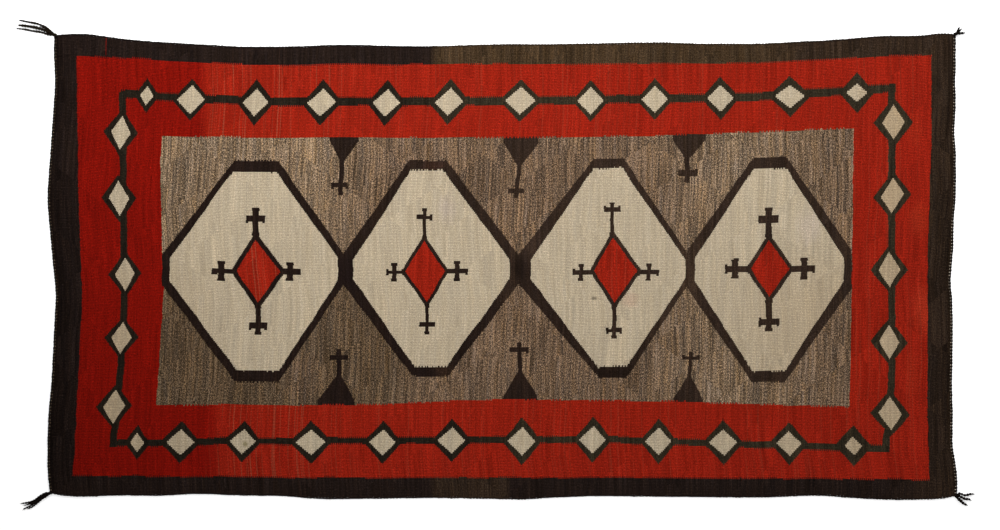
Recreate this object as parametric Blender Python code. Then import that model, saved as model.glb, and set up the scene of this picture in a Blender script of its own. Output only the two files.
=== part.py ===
"""Flat tapestry-woven wool rug with twined cords round its edge and a knotted tassel at each corner.

The rug lies face up. +X runs along its length, +Y across it, +Z up, and the origin is the middle of
the underside, on the floor. Sizes are in millimetres and are turned into metres as points are made.
"""
import math

import bmesh
import bpy
import numpy as np
from mathutils import Vector

MM = 0.001

# The woven field
FIELD_THICKNESS = 3.0
EDGE_ROUNDING = 0.9
COLUMNS = 56
ROWS = 28

# The twined cords round the edge, and the gap that parts each piece from the next
CORD_DIAMETER = 4.4
CORD_SIDES = 8
GAP = 0.35

# The knot at each corner
KNOT_RADIUS = 5.0
KNOT_HEIGHT = 6.4
KNOT_SEGMENTS = 12
KNOT_RINGS = 8

# The loose strands
STRAND_TIP_SHARE = 0.45
STRAND_HEIGHT_SHARE = 0.75
STRAND_ROOT_LIFT = 1.5
STRAND_STEP = 0.5
STRAND_CUTS = 3

# Where the rug's four corners lie: x, y
CORNERS = {
    "near_left": (-1190, -586),
    "near_right": (1186, -593),
    "far_right": (1183, 617),
    "far_left": (-1177, 614),
}

# How far each edge stands out from the straight line between its corners.
# Columns: distance from the first corner, stand-out (a minus sign means drawn in).
NEAR_EDGE = [
    (0, 0), (27, 6), (79, 9), (184, 6), (289, 6), (394, 1), (498, 5), (603, 6), (708, 13),
    (865, 12), (970, 10), (1127, 11), (1232, 13), (1337, 7), (1442, 4), (1599, 5), (1756, 6),
    (1861, 6), (2018, 1), (2123, 8), (2228, 11), (2332, 8), (2376, 0),
]
FAR_EDGE = [
    (0, 0), (64, 4), (117, -1), (169, -9), (274, -18), (379, -24), (483, -30), (641, -30),
    (745, -26), (955, -30), (1165, -25), (1269, -25), (1427, -23), (1584, -21), (1689, -24),
    (1846, -24), (1951, -19), (2055, -14), (2160, -5), (2265, -4), (2317, 2), (2360, 0),
]
LEFT_EDGE = [
    (0, 0), (24, 3), (87, 7), (213, 5), (244, 2), (307, -2), (433, -7), (527, -10), (590, -3),
    (653, 3), (716, 10), (763, 14), (810, 13), (873, 9), (936, 5), (999, 2), (1061, -2),
    (1187, 2), (1200, 0),
]
RIGHT_EDGE = [
    (0, 0), (31, 2), (94, -4), (125, -10), (220, -10), (283, -12), (377, -10), (503, -10),
    (566, -15), (628, -9), (691, -7), (754, -4), (785, -1), (911, -1), (943, -4), (1037, 0),
    (1100, -2), (1131, 0), (1210, 0),
]

# Each edge's first and last corner, its table, and which way is out
EDGES = {
    "near": ("near_left", "near_right", NEAR_EDGE, (0, -1)),
    "far": ("far_left", "far_right", FAR_EDGE, (0, 1)),
    "left": ("near_left", "far_left", LEFT_EDGE, (-1, 0)),
    "right": ("near_right", "far_right", RIGHT_EDGE, (1, 0)),
}

# Soft swells where the cloth has cockled. Columns: x, y, half length, half width, rise.
SWELLS = [
    (1090, 60, 45, 70, 0.9),
    (1115, -110, 40, 90, 1.1),
    (-1090, 330, 60, 120, 0.7),
    (-1110, -180, 50, 140, 0.6),
    (-560, 520, 160, 50, 0.5),
    (120, -540, 220, 45, 0.6),
    (640, 520, 180, 50, 0.5),
    (0, 0, 700, 300, 0.3),
]

# How far from the corner each tassel's strands come to lie on the floor
SETTLE = {"far_left": 16, "near_left": 62, "far_right": 9, "near_right": 14}

# The strands of each tassel, from its knot outwards. Columns: root width, then x and y of each
# point, counted from the rug's corner.
TASSELS = {
    "far_left": [
        (3.8, [(-20, 18), (-41, 28), (-68, 34), (-93, 39)]),
        (5.4, [(-23, 10), (-45, 18), (-65, 22), (-95, 26)]),
        (3.8, [(-15, 1), (-35, 7), (-60, 11), (-80, 15), (-99, 17)]),
    ],
    "near_left": [
        (5.6, [(-10, 0), (-22, -6), (-35, -16), (-50, -23), (-75, -27)]),
        (5.0, [(-10, -3), (-23, -9), (-36, -20), (-49, -27), (-66, -32)]),
        (5.6, [(-9, -5), (-24, -14), (-39, -26), (-52, -34), (-69, -42)]),
        (4.6, [(-7, -7), (-20, -15), (-34, -27), (-46, -36), (-57, -41)]),
    ],
    "far_right": [
        (3.8, [(4, 5), (6, 11), (10, 18)]),
        (3.8, [(5, 5), (9, 8), (15, 13)]),
        (3.6, [(6, 1), (14, 2), (24, 3)]),
    ],
    "near_right": [
        (3.8, [(6, 6), (21, 2), (28, 3), (35, 5), (45, 5)]),
        (4.0, [(6, 0), (16, -5), (23, -8), (31, -8), (37, -12)]),
        (6.4, [(1, -3), (10, -12), (20, -21), (27, -24)]),
    ],
}

# Colours, as linear red, green and blue
FIELD_COLOUR = (0.20, 0.045, 0.025)
CORD_COLOUR = (0.016, 0.012, 0.010)
TASSEL_COLOUR = (0.020, 0.015, 0.011)


def read_table(table, distance):
    """The stand-out at a distance, on a smooth curve through the rows of an edge's table."""
    at = [row[0] for row in table]
    out = [row[1] for row in table]
    last = len(table) - 1
    i = min(max(int(np.searchsorted(at, distance)) - 1, 0), last - 1)
    before, after = max(i - 1, 0), min(i + 2, last)
    span = at[i + 1] - at[i]
    leaving = (out[i + 1] - out[before]) / (at[i + 1] - at[before]) * span
    arriving = (out[after] - out[i]) / (at[after] - at[i]) * span
    t = (distance - at[i]) / span
    return (
        out[i] * (2 * t**3 - 3 * t**2 + 1)
        + leaving * (t**3 - 2 * t**2 + t)
        + out[i + 1] * (3 * t**2 - 2 * t**3)
        + arriving * (t**3 - t**2)
    )


def on_edge(edge, distance, inset):
    """The point at a distance along an edge from its first corner, moved in from the outline."""
    first, last, table, outward = EDGES[edge]
    length = table[-1][0]
    out = read_table(table, distance) - inset
    return Vector(CORNERS[first]).lerp(Vector(CORNERS[last]), distance / length) + Vector(outward) * out


def edge_line(edge, steps, inset, end_inset):
    """An edge's points at even steps, with the two outermost end_inset short of its corners."""
    length = EDGES[edge][2][-1][0]
    distances = [end_inset] + [length * i / steps for i in range(1, steps)] + [length - end_inset]
    return [on_edge(edge, distance, inset) for distance in distances]


def outline(inset):
    """The near, far, left and right lines of the cloth, moved in from the outline, with shared corners."""
    near, far = (edge_line(edge, COLUMNS, inset, inset) for edge in ("near", "far"))
    left, right = (edge_line(edge, ROWS, inset, inset) for edge in ("left", "right"))
    for side, end, s, e in ((near, left, 0, 0), (near, right, -1, 0), (far, left, 0, -1), (far, right, -1, -1)):
        side[s] = end[e] = Vector((end[e].x, side[s].y))
    return near, far, left, right


def patch(inset):
    """Rows of points that fill the outline, each row blended between the four uneven edges."""
    near, far, left, right = outline(inset)
    rows = []
    for j in range(ROWS + 1):
        v = j / ROWS
        row = []
        for i in range(COLUMNS + 1):
            u = i / COLUMNS
            ruled = near[0].lerp(near[-1], u).lerp(far[0].lerp(far[-1], u), v)
            row.append(near[i].lerp(far[i], v) + left[j].lerp(right[j], u) - ruled)
        rows.append(row)
    return rows


def top_height(point):
    """The height of the cloth's face, which is a little fuller where it has cockled."""
    height = FIELD_THICKNESS
    for x, y, half_length, half_width, rise in SWELLS:
        away = ((point.x - x) / half_length) ** 2 + ((point.y - y) / half_width) ** 2
        height += rise * math.exp(-away)
    return height


def in_metres(point, height):
    return Vector((point.x, point.y, height)) * MM


def make_material(name, colour, roughness):
    material = bpy.data.materials.new(name)
    material.use_nodes = True
    shader = material.node_tree.nodes["Principled BSDF"]
    shader.inputs["Base Color"].default_value = (*colour, 1)
    shader.inputs["Roughness"].default_value = roughness
    shader.inputs["Metallic"].default_value = 0
    material.diffuse_color = (*colour, 1)
    return material


def place(obj, parent):
    bpy.context.scene.collection.objects.link(obj)
    obj.parent = parent
    return obj


def make_field(parent):
    """The cloth: a face with its soft swells, a rounded edge, and an underside flat on the floor."""
    mesh = bpy.data.meshes.new("woven_field")
    bm = bmesh.new()
    outer = CORD_DIAMETER + GAP
    inner = outer + EDGE_ROUNDING
    face = [[bm.verts.new(in_metres(p, top_height(p))) for p in row] for row in patch(inner)]
    for j in range(ROWS):
        for i in range(COLUMNS):
            bm.faces.new((face[j][i], face[j][i + 1], face[j + 1][i + 1], face[j + 1][i]))

    # The steps round the rim, counter-clockwise from the near left corner
    rim = [(i, 0) for i in range(COLUMNS)]
    rim += [(COLUMNS, j) for j in range(ROWS)]
    rim += [(i, ROWS) for i in range(COLUMNS, 0, -1)]
    rim += [(0, j) for j in range(ROWS, 0, -1)]

    def ring(inset, height):
        points = patch(inset)
        return [bm.verts.new(in_metres(points[j][i], height)) for i, j in rim]

    top = [face[j][i] for i, j in rim]
    middle = ring(outer, FIELD_THICKNESS / 2)
    bottom = ring(inner, 0)
    for upper, lower in ((top, middle), (middle, bottom)):
        for k in range(len(rim)):
            after = (k + 1) % len(rim)
            bm.faces.new((upper[k], lower[k], lower[after], upper[after]))

    # The underside is flat strips from the near edge to the far one, and one face at each end
    under = dict(zip(rim, bottom))
    for i in range(1, COLUMNS - 1):
        bm.faces.new((under[i, 0], under[i, ROWS], under[i + 1, ROWS], under[i + 1, 0]))
    left = [under[0, j] for j in range(ROWS + 1)]
    bm.faces.new([under[1, 0]] + left + [under[1, ROWS]])
    right = [under[COLUMNS, j] for j in range(ROWS, -1, -1)]
    bm.faces.new([under[COLUMNS - 1, ROWS]] + right + [under[COLUMNS - 1, 0]])
    bm.to_mesh(mesh)
    bm.free()
    mesh.materials.append(make_material("rug_wool", FIELD_COLOUR, 0.95))
    return place(bpy.data.objects.new("woven_field", mesh), parent)


def make_cord(name, points, parent):
    """A cord as a round bar along its points, closed at both ends."""
    curve = bpy.data.curves.new(name, "CURVE")
    curve.dimensions = "3D"
    curve.bevel_depth = CORD_DIAMETER / 2 * MM
    curve.bevel_resolution = CORD_SIDES // 2 - 2
    curve.use_fill_caps = True
    spline = curve.splines.new("POLY")
    spline.points.add(len(points) - 1)
    for spot, point in zip(spline.points, points):
        spot.co = (*in_metres(point, CORD_DIAMETER / 2), 1)
    spline.use_smooth = True
    curve.materials.append(make_material(name + "_yarn", CORD_COLOUR, 0.9))
    return place(bpy.data.objects.new(name, curve), parent)


def make_cords(parent):
    """The two end cords and the two side cords, just inside the rug's outline, from knot to knot."""
    cords = [
        ("side_cord_near", "near", COLUMNS),
        ("side_cord_far", "far", COLUMNS),
        ("end_cord_left", "left", ROWS),
        ("end_cord_right", "right", ROWS),
    ]
    for name, edge, steps in cords:
        points = edge_line(edge, steps, CORD_DIAMETER / 2, KNOT_RADIUS + GAP)
        make_cord(name, points, parent)


def smooth_route(points):
    """A strand's points, with more between them on a smooth curve."""
    ends = [points[0] * 2 - points[1]] + points + [points[-1] * 2 - points[-2]]
    route = []
    for a, b, c, d in zip(ends, ends[1:], ends[2:], ends[3:]):
        for cut in range(STRAND_CUTS):
            t = cut / STRAND_CUTS
            bend = (c - a) * t + (a * 2 - b * 5 + c * 4 - d) * t**2 + (b * 3 - a - c * 3 + d) * t**3
            route.append(b + bend / 2)
    return route + [points[-1]]


def make_strand(corner, width, points, settle, order):
    """One loose strand: four-sided, thinning to its tip, and flat on the floor past the knot."""
    route = smooth_route([Vector((0, 0))] + [Vector(p) for p in points])
    bm = bmesh.new()
    rings = []
    walked = 0.0
    for i, point in enumerate(route):
        before, after = route[max(i - 1, 0)], route[min(i + 1, len(route) - 1)]
        walked += (point - before).length
        side = Vector((-(after - before).y, (after - before).x)).normalized()
        share = i / (len(route) - 1)
        half = width / 2 * (1 - (1 - STRAND_TIP_SHARE) * share)
        height = 2 * half * STRAND_HEIGHT_SHARE
        settled = min(walked / settle, 1)
        base = (STRAND_ROOT_LIFT + order * STRAND_STEP) * (1 - settled)
        middle = Vector(corner) + point
        low, high = side * half, side * half * 0.7
        rings.append([
            bm.verts.new(in_metres(middle - low, base)),
            bm.verts.new(in_metres(middle + low, base)),
            bm.verts.new(in_metres(middle + high, base + height)),
            bm.verts.new(in_metres(middle - high, base + height)),
        ])
    for one, two in zip(rings, rings[1:]):
        for k in range(4):
            bm.faces.new((one[k], one[(k + 1) % 4], two[(k + 1) % 4], two[k]))
    bm.faces.new(rings[0][::-1])
    bm.faces.new(rings[-1])
    bmesh.ops.recalc_face_normals(bm, faces=bm.faces)
    mesh = bpy.data.meshes.new("strand")
    bm.to_mesh(mesh)
    bm.free()
    return bpy.data.objects.new("strand", mesh)


def fuse(body, addition):
    """Joins one closed shape to another with a Boolean union, and removes the one added."""
    bpy.context.scene.collection.objects.link(addition)
    union = body.modifiers.new("fuse", "BOOLEAN")
    union.operation = "UNION"
    union.object = addition
    bpy.context.view_layer.update()
    fused = bpy.data.meshes.new_from_object(body.evaluated_get(bpy.context.evaluated_depsgraph_get()))
    body.modifiers.remove(union)
    body.data = fused
    bpy.data.objects.remove(addition)


def make_tassel(where, strands, parent):
    """A corner's knot with the loose ends of the cords fused into it."""
    corner = CORNERS[where]
    mesh = bpy.data.meshes.new("tassel_" + where)
    bm = bmesh.new()
    bmesh.ops.create_uvsphere(bm, u_segments=KNOT_SEGMENTS, v_segments=KNOT_RINGS, radius=1)
    size = Vector((KNOT_RADIUS, KNOT_RADIUS, KNOT_HEIGHT / 2)) * MM
    bmesh.ops.scale(bm, vec=size, verts=bm.verts)
    bmesh.ops.translate(bm, vec=in_metres(Vector(corner), KNOT_HEIGHT / 2), verts=bm.verts)
    bm.to_mesh(mesh)
    bm.free()
    tassel = place(bpy.data.objects.new("tassel_" + where, mesh), parent)
    for order, (width, points) in enumerate(strands):
        fuse(tassel, make_strand(corner, width, points, SETTLE[where], order))
    tassel.data.name = "tassel_" + where
    tassel.data.materials.clear()
    tassel.data.materials.append(make_material("tassel_yarn_" + where, TASSEL_COLOUR, 0.9))
    return tassel


for old in list(bpy.data.objects):
    bpy.data.objects.remove(old)

rug = bpy.data.objects.new("rug", None)
bpy.context.scene.collection.objects.link(rug)
make_field(rug)
make_cords(rug)
for corner_name, corner_strands in TASSELS.items():
    make_tassel(corner_name, corner_strands, rug)
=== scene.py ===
import math

import bpy
import numpy as np
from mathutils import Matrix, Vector


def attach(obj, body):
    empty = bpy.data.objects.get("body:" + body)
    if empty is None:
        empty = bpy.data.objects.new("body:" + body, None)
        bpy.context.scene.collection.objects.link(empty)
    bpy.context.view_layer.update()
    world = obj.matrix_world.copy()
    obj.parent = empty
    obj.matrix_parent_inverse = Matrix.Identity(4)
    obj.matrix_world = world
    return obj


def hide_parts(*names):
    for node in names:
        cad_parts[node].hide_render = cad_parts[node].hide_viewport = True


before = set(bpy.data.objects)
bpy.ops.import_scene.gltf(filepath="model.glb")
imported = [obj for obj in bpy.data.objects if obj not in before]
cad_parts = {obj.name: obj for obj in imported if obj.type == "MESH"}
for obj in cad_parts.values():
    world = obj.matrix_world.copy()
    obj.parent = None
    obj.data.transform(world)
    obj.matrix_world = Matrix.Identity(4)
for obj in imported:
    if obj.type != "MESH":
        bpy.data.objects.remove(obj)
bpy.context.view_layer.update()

# THE CAMERA
# The photo looks straight down at the rug from far off, so that its edges stay parallel. One of its
# pixels is 2.62 mm of the floor, and the middle of the picture is a little up and left of the rug's.
bpy.ops.object.select_all(action="DESELECT")
bpy.ops.object.camera_add(location=(-0.0105, 0.0118, 6.0), rotation=(0.0, 0.0, 0.0))
camera = bpy.context.object
camera.name = "camera"
camera.data.sensor_width = 36.0
camera.data.lens = 82.44
bpy.context.scene.camera = camera
bpy.context.scene.view_settings.view_transform = "Standard"

# THE WOVEN CLOTH
# One flat tapestry-woven piece of wool. The warps run the long way and are hidden under the wefts,
# which are packed down hard over them, so that the face is all low ribs. Each colour is its own yarn,
# which turns back on the warp where its figure ends. The sizes below are in millimetres.
MM = 0.001
WARPS = 288
WEFTS = 1816
WARP_PITCH = 4.16
WEFT_PITCH = 1.3
REACH = 1.2
GROOVE_HEIGHT = 2.5
CREST_HEIGHT = 3.0
RIM_HEIGHT = 2.0
SOLID_MIDDLE = 1.5
SHOULDERS = (0.26, 0.74)

# How many wefts apart the ribs are cut: in general, and so many warps from a long edge
EASE = 96
RIM_EASE = ((3, 16), (12, 32), (44, 64))

# Where the cloth has cockled: x, y, half length, half width, rise
SWELLS = [
    (1090, 60, 45, 70, 0.9), (1115, -110, 40, 90, 1.1),
    (-1090, 330, 60, 120, 0.7), (-1110, -180, 50, 140, 0.6),
    (-560, 520, 160, 50, 0.5), (120, -540, 220, 45, 0.6),
    (640, 520, 180, 50, 0.5), (0, 0, 700, 300, 0.3),
]

# The red border's outer edge and the grey ground's edge, each from the near left corner round
RED_EDGE = [
    (-1130, -540), (-445, -545), (430, -545), (1115, -550), (1110, -385), (1110, 45), (1120, 350),
    (1120, 560), (1045, 560), (645, 540), (-665, 535), (-1120, 560), (-1115, 175), (-1105, -75),
    (-1125, -475),
]
GREY_EDGE = [
    (-910, -355), (-390, -355), (-10, -340), (430, -345), (905, -360), (910, -55), (915, 370),
    (775, 365), (390, 350), (-10, 345), (-665, 345), (-895, 350), (-900, 285), (-895, 50), (-890, -45),
]

# The dark line that links the diamonds: its middle, and how wide it is
LINK_TOP = [(-1005, 460), (-665, 440), (-90, 440), (605, 450), (1025, 475)]
LINK_BOTTOM = [(-1030, -455), (-665, -450), (250, -445), (1010, -470)]
LINK_LEFT = [(-1025, -465), (-1005, -265), (-995, -80), (-1000, 465)]
LINK_RIGHT = [(1000, -475), (1015, -290), (1015, 480)]
LINK_WIDTH = {"top": 22, "bottom": 18, "left": 18.5, "right": 18.5}

# The diamonds of the border. Columns: x, y, half width and half height of the cream, half width and
# half height with the dark frame, how far the top stands right of the bottom, and how far the right
# corner stands above the left one.
DIAMONDS = [
    (-935, 454, 18, 25, 32, 46, 4, 0), (-820, 445, 36, 38, 49, 55, 6, 0),
    (-650, 437, 34, 36, 50, 61, 8, 0), (-477, 437, 38, 36, 53, 61, 9, 0),
    (-309, 437, 36, 36, 51, 61, 9, 0), (-143, 438, 38, 36, 54, 61, 9, 0),
    (43, 442, 40, 36, 56, 56, 4, 0), (227, 442, 35, 36, 49, 55, 0, 0),
    (395, 446, 34, 35, 49, 55, 0, 0), (567, 449, 35, 35, 51, 57, -2, 0),
    (749, 454, 40, 30, 57, 54, -1, 0), (924, 463, 28, 24, 47, 54, 0, 0),
    (-960, -455, 19, 25, 34, 46, 3, 0), (-847, -452, 36, 34, 53, 56, 4, 0),
    (-683, -451, 35, 32, 51, 55, 8, 0), (-505, -452, 39, 33, 56, 57, -1, 0),
    (-318, -452, 35, 34, 51, 57, 3, 0), (-136, -449, 37, 34, 53, 57, 2, 0),
    (47, -450, 36, 37, 52, 63, 1, 0), (233, -446, 35, 36, 51, 61, 3, 0),
    (405, -450, 34, 36, 49, 60, 1, 0), (575, -453, 37, 34, 53, 59, -3, 0),
    (747, -455, 33, 32, 51, 57, -2, 0), (915, -462, 23, 24, 49, 54, -3, 0),
    (-1004, 358, 26, 44, 46, 62, 9, -9), (-1009, 186, 27, 46, 47, 62, -3, -4),
    (-993, -13, 26, 44, 44, 61, 0, 0), (-1002, -179, 27, 41, 46, 55, 9, -1),
    (-1021, -359, 29, 45, 48, 59, 9, 3), (1020, 385, 29, 45, 52, 66, -1, 4),
    (1017, 193, 30, 46, 50, 63, 6, 9), (1009, -1, 28, 46, 49, 63, -1, 0),
    (1009, -190, 26, 45, 49, 62, -1, -4), (1012, -378, 30, 44, 52, 61, -1, -5),
]

# The four six-sided medallions, the dark outline of each and then its cream. Columns: left and right
# of the flat top and its y, left and right of the flat bottom and its y, x of the left and of the
# right waist, and half a waist's height. Each waist is shared with the next medallion.
MEDALLIONS = [
    ((-705, -590, 285, -705, -590, -295, -895, -420, 40),
     (-710, -595, 255, -700, -590, -265, -875, -435, 30)),
    ((-250, -150, 285, -240, -145, -280, -425, 40, 35),
     (-245, -160, 260, -235, -150, -255, -395, 15, 25)),
    ((235, 315, 290, 250, 320, -285, 35, 485, 35),
     (235, 310, 265, 245, 320, -255, 70, 475, 25)),
    ((655, 740, 295, 650, 735, -295, 480, 910, 50),
     (655, 740, 265, 650, 735, -265, 500, 890, 30)),
]

# The red diamond in each medallion. Columns: left, right, top, bottom, its outline's width, and x of
# the top and bottom corners.
HEARTS = [
    (-716, -571, 98, -108, 15, -650, -643), (-270, -144, 91, -102, 11, -209, -202),
    (224, 361, 101, -106, 12, 285, 290), (634, 760, 95, -90, 13, 694, 695),
]

# The crosses on the diamonds' corners. Columns: x, y, half length along the stem, half length of the
# bar, the stem's width and the bar's, and where the stem starts.
UPRIGHT_CROSSES = [
    (-650, 132, 28, 25, 16.5, 17, 88), (-209, 137, 23, 21, 9.5, 10.5, 80),
    (283, 157, 19, 22, 10, 12, 90), (693, 132, 29, 26, 16, 18, 84),
    (-643, -147, -24, 24, 14, 16, -97), (-202, -144, -26, 21, 9, 10.5, -92),
    (289, -161, -20, 21, 11, 12, -95), (694, -137, -23, 27, 16, 17, -80),
]
LEVEL_CROSSES = [
    (-740, -6, -26, 26, 13, 17, -705), (-288, -6, -22, 24, 10.5, 12, -260),
    (202, -7, -23, 22, 12, 10, 235), (605, 1, -27, 26, 17, 16.5, 645),
    (-560, -5, 28, 25, 14, 16, -580), (-122, -6, 28, 25, 11, 13, -152),
    (379, -7, 27, 23, 12, 10, 350), (787, 2, 28, 27, 16, 16, 750),
]
FLARE = 2.1
FLARE_LENGTH = 7

# The spade-shaped figures that stand on the grey ground's long edges. Columns: left and right of the
# base, its y, y of the shoulder, then x, y of the neck and x, y of the stem's tip, the stem's width,
# then x and y of the bar's middle, its half length and its width.
SPADES = [
    (-457, -380, 350, 336, -424, 284, -428, 195, 13, -430, 220, 22, 14),
    (-2, 90, 352, 330, 40, 273, 32, 188, 11, 32, 205, 21, 12),
    (441, 528, 362, 338, 479, 292, 480, 229, 14, 481, 253, 25, 17),
    (-487, -390, -360, -342, -432, -279, -432, -210, 12, -432, -231, 24, 12),
    (-2, 89, -350, -333, 42, -268, 40, -192, 11, 40, -211, 25, 13),
    (443, 523, -360, -340, 485, -281, 489, -216, 10, 489, -231, 23, 11),
]

# A stray end of orange yarn woven into the dark border: x, y from, y to
STRAY_WEFT = (-1043, 562, 606)

# How deep the teeth are where a figure of each yarn ends along a warp. Nearer the rug's middle line
# than this there are none.
TOOTH = {"red": 1.4, "link": 1.1, "grey": 1.1, "outline": 0.9, "cream": 2.2}
TOOTHED_BEYOND = 235

BORDER, RED, LINK, CREAM, GREY, OUTLINE = range(6)


def read_rim(node):
    """The near, far, left and right edges of the cloth's solid, halfway up it, each a line of points in
    metres."""
    points = np.array([v.co[:] for v in node.data.vertices])
    rim = np.unique(points[np.abs(points[:, 2] - SOLID_MIDDLE * MM) < 0.2 * MM][:, :2].round(5), axis=0)
    rim = rim[np.argsort(np.arctan2(rim[:, 1], rim[:, 0]))]
    near_left, near_right, far_right, far_left = (
        int(np.argmax(rim @ (x / 1.19, y / 0.6))) for x, y in ((-1, -1), (1, -1), (1, 1), (-1, 1))
    )
    near = rim[near_left:near_right + 1].copy()
    right = rim[near_right:far_right + 1].copy()
    far = rim[far_right:far_left + 1][::-1].copy()
    left = np.concatenate((rim[far_left:], rim[:near_left + 1]))[::-1].copy()
    return near, far, left, right


def along(edge, share):
    """The points at shares of an edge's length, on a smooth line through the edge's own points."""
    at = np.r_[0, np.cumsum(np.hypot(*np.diff(edge, axis=0).T))]
    at /= at[-1]
    slope = np.gradient(edge, at, axis=0)
    k = np.clip(np.searchsorted(at, share, side="right") - 1, 0, len(edge) - 2)
    gap = (at[k + 1] - at[k])[..., None]
    t = (share - at[k])[..., None] / gap
    return (
        (1 + 2 * t) * (1 - t) ** 2 * edge[k] + t * (1 - t) ** 2 * gap * slope[k]
        + t**2 * (3 - 2 * t) * edge[k + 1] + t**2 * (t - 1) * gap * slope[k + 1]
    )


near_rim, far_rim, left_rim, right_rim = read_rim(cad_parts["woven_field"])

# The wefts wrap the edge cords, so the cloth reaches a little under them
near, far, left, right = (edge.copy() for edge in (near_rim, far_rim, left_rim, right_rim))
near[:, 1] -= REACH * MM
far[:, 1] += REACH * MM
left[:, 0] -= REACH * MM
right[:, 0] += REACH * MM
for side, end, s, e in (
    (near, left, 0, 0), (near, right, -1, 0), (far, left, 0, -1), (far, right, -1, -1),
):
    side[s, 0] = end[e, 0]
    end[e, 1] = side[s, 1]


def on_cloth(u, v):
    """The place on the floor that lies a share u along the cloth and a share v across it."""
    u, v = np.broadcast_arrays(u, v)
    a, b = u[..., None], v[..., None]
    ruled = (1 - a) * (1 - b) * near[0] + a * (1 - b) * near[-1] + (1 - a) * b * far[0] + a * b * far[-1]
    return (
        (1 - b) * along(near, u) + b * along(far, u) + (1 - a) * along(left, v) + a * along(right, v)
        - ruled
    )


def drift(rng, places, step, size):
    """A slow random wander along a line of places, in millimetres."""
    knots = rng.normal(0, size, int(np.ceil(places.max() / step)) + 3)
    return np.interp(places, np.arange(len(knots)) * step, knots)


# The middle of every visible bit of weft, in millimetres on the floor
rng = np.random.default_rng(1880)
weft_share = (np.arange(WEFTS) + 0.5) / WEFTS
warp_share = (np.arange(WARPS) + 0.5) / WARPS
bits = on_cloth(weft_share[None, :], warp_share[:, None]) / MM
x, y = bits[..., 0], bits[..., 1]

# No line is quite true: the wefts wander, and so do the warps
weft_at = np.arange(WEFTS) * WEFT_PITCH
warp_at = np.arange(WARPS) * WARP_PITCH
x = x + drift(rng, weft_at, 60, 0.7)[None, :] + drift(rng, warp_at, 26, 0.8)[:, None]
y = y + drift(rng, weft_at, 45, 0.8)[None, :]

# Where a colour ends along a warp, its wefts turn back by turns on this warp and on the next, which
# leaves teeth of two to four wefts. Where it ends neatly they are too fine to tell apart.
turns = np.repeat(np.arange(WEFTS) % 2 * 2 - 1, rng.choice((2, 3, 3, 4), WEFTS))[:WEFTS]
teeth = turns * rng.uniform(0.3, 1.0, WEFTS)[np.cumsum(np.abs(np.diff(turns, prepend=1))) // 2]
fine_teeth = np.repeat(np.arange(WEFTS) % 2 * 2 - 1, 2)[:WEFTS]


def inside(shape, tooth=0.0, comb=teeth):
    """Which bits of weft lie inside a figure, given by its corners in order, with toothed level edges."""
    level = y + tooth * comb[None, :] * (np.abs(y) > TOOTHED_BEYOND)
    hit = np.zeros(x.shape, bool)
    xs, ys = np.array(shape, float).T
    for x0, y0, x1, y1 in zip(xs, ys, np.roll(xs, -1), np.roll(ys, -1)):
        if y0 != y1:
            hit ^= ((y0 > level) != (y1 > level)) & (x < x0 + (level - y0) * (x1 - x0) / (y1 - y0))
    return hit


def diamond(cx, cy, half_width, half_height, lean=0, tilt=0):
    """A diamond's corners, from the top round by the right."""
    return [
        (cx + lean / 2, cy + half_height), (cx + half_width, cy + tilt / 2),
        (cx - lean / 2, cy - half_height), (cx - half_width, cy - tilt / 2),
    ]


def medallion(top_left, top_right, top, bottom_left, bottom_right, bottom, left, right, waist):
    """A medallion's corners, from the left of its flat top round by the right."""
    return [
        (top_left, top), (top_right, top), (right, waist), (right, -waist),
        (bottom_right, bottom), (bottom_left, bottom), (left, -waist), (left, waist),
    ]


def bar(x0, y0, x1, y1):
    """A rectangle's corners."""
    return [(x0, y0), (x1, y0), (x1, y1), (x0, y1)]


def level_bar(cx, cy, half, thick):
    """A short bar that lies along the rug, a little thicker at both its ends."""
    low, high = cy - thick / 2, cy + thick / 2
    flared = inside(bar(cx - half, low - FLARE, cx - half + FLARE_LENGTH, high + FLARE))
    flared |= inside(bar(cx + half - FLARE_LENGTH, low - FLARE, cx + half, high + FLARE))
    return flared | inside(bar(cx - half, low, cx + half, high))


def upright_bar(cx, cy, half, thick):
    """The same, lying across the rug."""
    left, right = cx - thick / 2, cx + thick / 2
    flared = inside(bar(left - FLARE, cy - half, right + FLARE, cy - half + FLARE_LENGTH))
    flared |= inside(bar(left - FLARE, cy + half - FLARE_LENGTH, right + FLARE, cy + half))
    return flared | inside(bar(left, cy - half, right, cy + half))


# The weave itself: which yarn shows at each bit, laid down from the ground up to the smallest figure
yarn = np.full(x.shape, BORDER, np.int8)
yarn[inside(RED_EDGE, TOOTH["red"], fine_teeth)] = RED
for name, line in (("top", LINK_TOP), ("bottom", LINK_BOTTOM)):
    lx, ly = np.array(line, float).T
    away = np.abs(y - np.interp(x, lx, ly) + TOOTH["link"] * fine_teeth[None, :])
    yarn[(away < LINK_WIDTH[name] / 2) & (x > lx[0]) & (x < lx[-1])] = LINK
for name, line in (("left", LINK_LEFT), ("right", LINK_RIGHT)):
    lx, ly = np.array(line, float).T
    yarn[(np.abs(x - np.interp(y, ly, lx)) < LINK_WIDTH[name] / 2) & (y > ly[0]) & (y < ly[-1])] = LINK
for cx, cy, wide, high, frame_wide, frame_high, lean, tilt in DIAMONDS:
    yarn[inside(diamond(cx, cy, frame_wide, frame_high, lean, tilt))] = LINK
    yarn[inside(diamond(cx, cy, wide, high, lean, tilt))] = CREAM
ground = inside(GREY_EDGE, TOOTH["grey"])
yarn[ground] = GREY
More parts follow.
